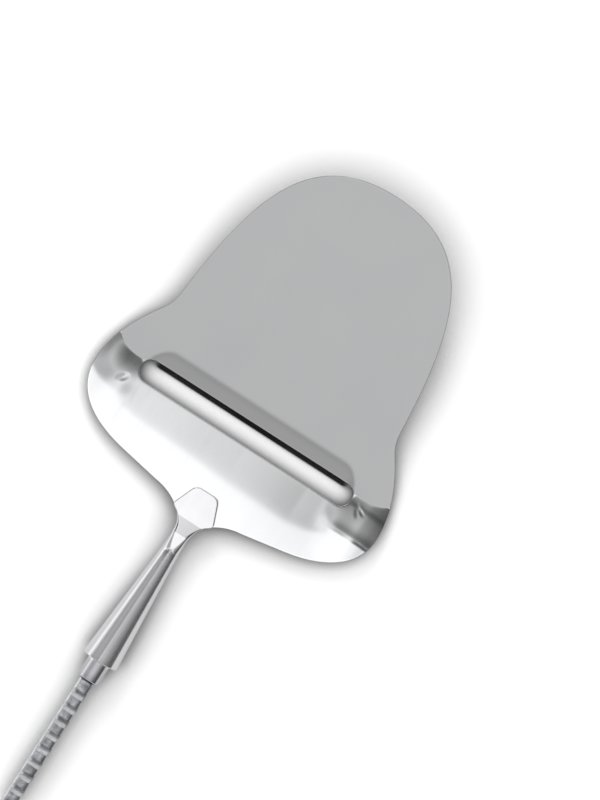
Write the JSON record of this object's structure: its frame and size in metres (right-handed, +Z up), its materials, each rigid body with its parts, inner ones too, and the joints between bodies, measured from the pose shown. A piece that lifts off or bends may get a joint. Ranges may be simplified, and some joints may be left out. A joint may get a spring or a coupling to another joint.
{
  "type": "cheese slicer",
  "caption": "Cheese slicer without its handle: a stamped steel spade with a raised cutting slot, a forged conical stem welded to its tail and a ribbed square tang.",
  "frame": {"origin": "on the table plane, at the middle of the bounding box's underside, with the slicer lying as it rests on its cutting lip and on the rim of its cone", "axes": "+Y towards the tip of the blade, +Z up from the table, +X to the right seen from above with the tip pointing away"},
  "size_m": [0.0832, 0.1798, 0.0163],
  "materials": {
    "blade_steel": "stamped stainless sheet, satin",
    "stem_steel": "forged stainless, polished",
    "tang_steel": "as forged, dull grey",
    "weld_metal": "fused weld nugget"
  },
  "bodies": {
    "root": {"blade": "blade_steel", "stem": "stem_steel", "tang": "tang_steel", "weld_nugget_front": "weld_metal", "weld_nugget_rear": "weld_metal"}
  },
  "joints": []
}
